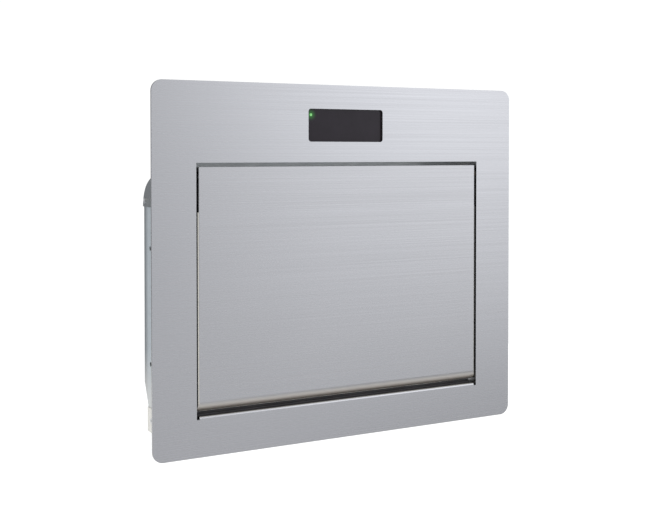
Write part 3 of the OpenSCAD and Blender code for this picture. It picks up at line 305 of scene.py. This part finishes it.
# Side panels: painted shade darkens them towards the rear edge, and they turn lighter towards the bottom
panel_coat = painted("panel_coat", (0.37, 0.425, 0.48), 0.34, 0.45, tone_and_shade_fades=(
    ("Y", panel_hi.y - 0.015, panel_hi.y - 0.003, (0.14, 0.16, 0.18)),
    ("Z", panel_lo.z + 0.11, panel_lo.z + 0.03, (0.50, 0.52, 0.54))))
hood = painted("hood_coat", (0.15, 0.168, 0.185), 0.34, 0.5)
tray = painted("tray_coat", (0.56, 0.57, 0.575), 0.4, 0.2)
zinc = plated("zinc_plate", (0.62, 0.64, 0.66), (0.22, 0.4))
galvanised = plated("galvanised_sheet", (0.50, 0.515, 0.53), (0.34, 0.40), depth=0.05)
turned = plated("turned_steel", (0.56, 0.57, 0.59), (0.18, 0.3))
spring_steel = plated("spring_wire", (0.36, 0.37, 0.39), (0.25, 0.38))
alloy = plated("machined_alloy", (0.66, 0.67, 0.69), (0.25, 0.42))
bronze = plated("sintered_bronze", (0.21, 0.15, 0.09), (0.35, 0.5))
dark_rubber = rubber("dark_rubber", (0.035, 0.035, 0.038), 0.75, 350.0)
foam = rubber("foam_rubber", (0.04, 0.04, 0.045), 0.9, 900.0)
black_moulding = plastic("black_moulding", (0.028, 0.028, 0.032), 0.5)
grey_moulding = plastic("grey_moulding", (0.40, 0.41, 0.43), 0.5)
white_moulding = plastic("white_moulding", (0.80, 0.79, 0.75), 0.42, grain_depth=0.05)
chute_plastic = plastic("chute_plastic", (0.78, 0.78, 0.76), 0.35, grain=300.0, grain_depth=0.06)
gear_moulding = plastic("gear_moulding", (0.10, 0.105, 0.115), 0.4, grain_depth=0.06)
green_moulding = plastic("green_moulding", (0.06, 0.24, 0.09), 0.4)
sensor_moulding = plastic("sensor_moulding", (0.04, 0.05, 0.09), 0.4)
jacket = plastic("lead_jacket", (0.03, 0.03, 0.033), 0.42, grain_depth=0.05)
red_jacket = plastic("red_lead_jacket", (0.33, 0.03, 0.03), 0.42, grain_depth=0.05)
board = circuit("circuit_board")
glass = smoked("smoked_acrylic")
lens = lit("lit_lens")

BY_NODE = {
    "fascia_plate": steel_face, "flap_skin": steel_flap, "flap_back_panel": galvanised,
    "tunnel_liner_left": steel_liner, "tunnel_liner_right": steel_liner,
    "side_panel_left": panel_coat, "side_panel_right": panel_coat,
}
BY_SLOT = {
    "casing_steel": casing, "hood_steel": hood, "tray_steel": tray, "zinc_steel": zinc,
    "turned_steel": turned, "spring_steel": spring_steel, "solenoid_steel": zinc,
    "rivet_aluminium": alloy, "block_aluminium": alloy, "bronze": bronze, "rubber": dark_rubber,
    "foam_rubber": foam, "floor_plastic": chute_plastic, "white_nylon": white_moulding,
    "black_nylon": black_moulding, "black_plastic": black_moulding, "sensor_plastic": sensor_moulding,
    "grey_plastic": grey_moulding, "green_plastic": green_moulding, "gear_plastic": gear_moulding,
    "circuit_board": board, "smoked_window": glass, "led_green": lens, "lead_jacket": jacket,
    "red_lead_jacket": red_jacket, "brushed_stainless": steel_face, "flap_stainless": steel_flap,
    "liner_stainless": steel_liner,
}
SLOT_OF = {s["node"]: s["material_slot"] for s in frame["record"]["subparts"]}
for name, obj in N.items():
    obj.data.materials.clear()
    obj.data.materials.append(BY_NODE.get(name) or BY_SLOT[SLOT_OF[name]])

# ---------------------------------------------------------------- softened sheet edges
for name, width in (("fascia_plate", 0.0005), ("flap_skin", 0.0007), ("base_tray", 0.0003)):
    bevel = N[name].modifiers.new("soft_edges", "BEVEL")
    bevel.width = width
    bevel.segments = 3
    bevel.limit_method = "ANGLE"
    bevel.angle_limit = math.radians(50)
    bevel.harden_normals = True
    bevel.use_clamp_overlap = True

# Round the sheathed leads
for name in ("reader_lead", "antenna_lead", "lock_lead"):
    smooth = N[name].modifiers.new("round_sheath", "SUBSURF")
    smooth.levels = smooth.render_levels = 1

# ---------------------------------------------------------------- pieces built in mesh code


def tube(name, points, radius, look, sides=10):
    """A round wire along points, carried without twist, closed at both ends."""
    bm = bmesh.new()
    rings = []
    side = (points[1] - points[0]).normalized().orthogonal().normalized()
    for i, p in enumerate(points):
        t = (points[min(i + 1, len(points) - 1)] - points[max(i - 1, 0)]).normalized()
        side = (side - t * side.dot(t)).normalized()
        up = t.cross(side)
        rings.append([bm.verts.new(p + radius * (math.cos(a) * side + math.sin(a) * up))
                      for a in (2 * math.pi * k / sides for k in range(sides))])
    for r, q in zip(rings, rings[1:]):
        for k in range(sides):
            bm.faces.new((r[k], r[(k + 1) % sides], q[(k + 1) % sides], q[k]))
    bm.faces.new(rings[0][::-1])
    bm.faces.new(rings[-1])
    bmesh.ops.recalc_face_normals(bm, faces=bm.faces)
    mesh = bpy.data.meshes.new(name)
    bm.to_mesh(mesh)
    bm.free()
    for p in mesh.polygons:
        p.use_smooth = True
    mesh.materials.append(look)
    o = bpy.data.objects.new(name, mesh)
    scene.collection.objects.link(o)
    return o


# Torsion springs round the hinge: a fixed leg against a post, a coil, and a hooked end into a tail
WIRE, COIL = 0.0008, 0.0067                  # radii of the wire and of the coil's centre line
TURNS, COIL_LENGTH = 5, 0.0092
LEG, HOOK, TAIL = 0.020, 0.0014, 0.0018      # the leg, the bend into the tail, the tail
# The leg leans on a round post: its radius with 0.15 mm to spare, its distance and angle from the hinge
POST_REACH, POST_AWAY, POST_ANGLE = 0.00315, 0.018, math.radians(42)
TILT = POST_ANGLE - math.asin((COIL + WIRE + POST_REACH) / POST_AWAY)
coil_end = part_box("return_springs")[1].x - HOOK - TAIL
coil_start = coil_end - COIL_LENGTH


def on_coil(x, a):
    return Vector((x, hinge.y + COIL * math.cos(a), hinge.z + COIL * math.sin(a)))


def spring(name, sign):
    leg_steps, hook_steps, steps = 8, 6, 26 * TURNS
    down = Vector((0, math.sin(TILT), -math.cos(TILT)))
    leg = [on_coil(coil_start, TILT) + down * LEG * k / leg_steps for k in range(leg_steps, 0, -1)]
    coil = [on_coil(coil_start + (coil_end - coil_start) * k / steps,
                    TILT + 2 * math.pi * TURNS * k / steps) for k in range(steps + 1)]
    hook = [on_coil(coil_end + HOOK * (1 - math.cos(a)), TILT + HOOK * math.sin(a) / COIL)
            for a in (math.pi / 2 * k / hook_steps for k in range(1, hook_steps + 1))]
    tail = on_coil(coil_end + HOOK + TAIL, TILT + HOOK / COIL)
    route = [Vector((sign * p.x, p.y, p.z)) for p in leg + coil + hook + [tail]]
    o = tube(name, route, WIRE, spring_steel)
    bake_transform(o)
    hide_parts("return_springs")


spring("spring_right", 1)
spring("spring_left", -1)

# ---------------------------------------------------------------- studio
scene.view_settings.view_transform = "Standard"
scene.view_settings.look = "None"

world = bpy.data.worlds.new("studio")
scene.world = world
world.use_nodes = True
world.node_tree.nodes.clear()
sky = Tree(world.node_tree)
split = sky.new("SeparateXYZ")
sky.link(sky.new("TexCoord").outputs["Generated"], split.inputs[0])
toward_x, toward_y, toward_z = split.outputs


def times(a, b):
    return sky.math("MULTIPLY", a, b)


def plus(a, b, k):
    """a + b * k."""
    return sky.math("MULTIPLY_ADD", b, k, a)


def ratio_angle(a, b):
    """The angle in degrees whose tangent is a / b."""
    return times(sky.math("ARCTAN2", a, b), 180 / math.pi)


def band(angle, start, end):
    """Rises smoothly from 0 at start to 1 at end, both in degrees."""
    r = sky.new("MapRange", interpolation_type="SMOOTHSTEP")
    rising = end > start
    for k, v in (("From Min", min(start, end)), ("From Max", max(start, end)),
                 ("To Min", 0.0 if rising else 1.0), ("To Max", 1.0 if rising else 0.0)):
        r.inputs[k].default_value = v
    sky.link(angle, r.inputs["Value"])
    return r.outputs["Result"]


# Azimuth runs from -Y towards +X, elevation up from level
level = sky.new("CombineXYZ")
sky.link(toward_x, level.inputs[0])
sky.link(toward_y, level.inputs[1])
flat = sky.new("VectorMath", operation="LENGTH")
sky.link(level.outputs[0], flat.inputs[0])
azimuth = ratio_angle(toward_x, times(toward_y, -1.0))
elevation = ratio_angle(toward_z, flat.outputs["Value"])

# Soft light from all round: a broad softbox to the front right, a brighter and warmer room
# at both sides, and a dimmer one at the rear
softbox = times(times(band(azimuth, 15, 34), band(azimuth, 58, 37)),
                times(band(elevation, -20, 14), band(elevation, 60, 20)))
low_right = times(band(azimuth, 24, 40), band(elevation, -2, -16))
left_side = times(band(azimuth, -8, -40), band(azimuth, -150, -100))
right_side = times(band(azimuth, 54, 80), band(azimuth, 165, 130))
rear = plus(band(azimuth, 140, 178), band(azimuth, -130, -172), 1.0)
light = 0.80
for part, strength in ((softbox, 1.75), (band(elevation, 25, 80), 0.02),
                       (band(elevation, 2, -12), 0.10), (low_right, -0.40),
                       (left_side, 0.75), (right_side, 0.65), (rear, -0.55)):
    light = plus(light, part, strength)
warm = plus(left_side, right_side, 1.0)
tint = sky.new("CombineColor")
for i, (cool, change) in enumerate(((0.990, 0.05), (0.992, 0.0), (1.045, -0.17))):
    sky.link(times(light, plus(cool, warm, change)), tint.inputs[i])
soft = sky.new("Background")
sky.link(tint.outputs[0], soft.inputs["Color"])
backdrop = sky.new("Background")
backdrop.inputs["Color"].default_value = (1, 1, 1, 1)
backdrop.inputs["Strength"].default_value = 1.05
mix = sky.new("MixShader")
sky.link(sky.new("LightPath").outputs["Is Camera Ray"], mix.inputs["Fac"])
sky.link(soft.outputs[0], mix.inputs[1])
sky.link(backdrop.outputs[0], mix.inputs[2])
sky.link(mix.outputs[0], sky.new("OutputWorld").inputs["Surface"])

# A plain pale floor, well below the object, which hangs on a wall
FLOOR_Z = -1.9
left, right, front, far = -5, 7, -2.2, 8
corners = ((left, front), (right, front), (right, far), (left, far))
floor_mesh = bpy.data.meshes.new("floor")
floor_mesh.from_pydata([(x, y, FLOOR_Z) for x, y in corners], [], [(0, 1, 2, 3)])
floor = bpy.data.objects.new("floor", floor_mesh)
scene.collection.objects.link(floor)
pale = Mat("pale_floor").set(Roughness=0.9, Emission_Color=(0.80, 0.88, 1.0, 1), Emission_Strength=0.32)
pale.base(pale.blend(pale.noise(size=3.0), grey(0.79), grey(0.81)))
floor_mesh.materials.append(pale.m)

box_data = bpy.data.lights.new("key_softbox", "AREA")
box_data.shape = "RECTANGLE"
box_data.size = box_data.size_y = 2.4
box_data.energy = 3
key = bpy.data.objects.new("key_softbox", box_data)
key.location = (0.2, -1.8, 2.6)
key.rotation_euler = (-key.location).to_track_quat("-Z", "Y").to_euler()
scene.collection.objects.link(key)

# ---------------------------------------------------------------- camera
LENS, SENSOR, SHIFT = 60, 36, -0.128
YAW, PITCH = math.radians(29.07), math.radians(1.3)
AHEAD = 1.352                                # metres in front of the fascia
cam_data = bpy.data.cameras.new("camera")
cam = bpy.data.objects.new("camera", cam_data)
scene.collection.objects.link(cam)
scene.camera = cam
cam_data.lens = LENS
cam_data.sensor_width = SENSOR
cam_data.shift_y = SHIFT
cam_data.clip_start, cam_data.clip_end = 0.05, 100
cam.location = (-0.778, fascia_front - AHEAD, 0.155)
look_dir = Vector((math.sin(YAW) * math.cos(PITCH), math.cos(YAW) * math.cos(PITCH), -math.sin(PITCH)))
cam.rotation_euler = look_dir.to_track_quat("-Z", "Y").to_euler()
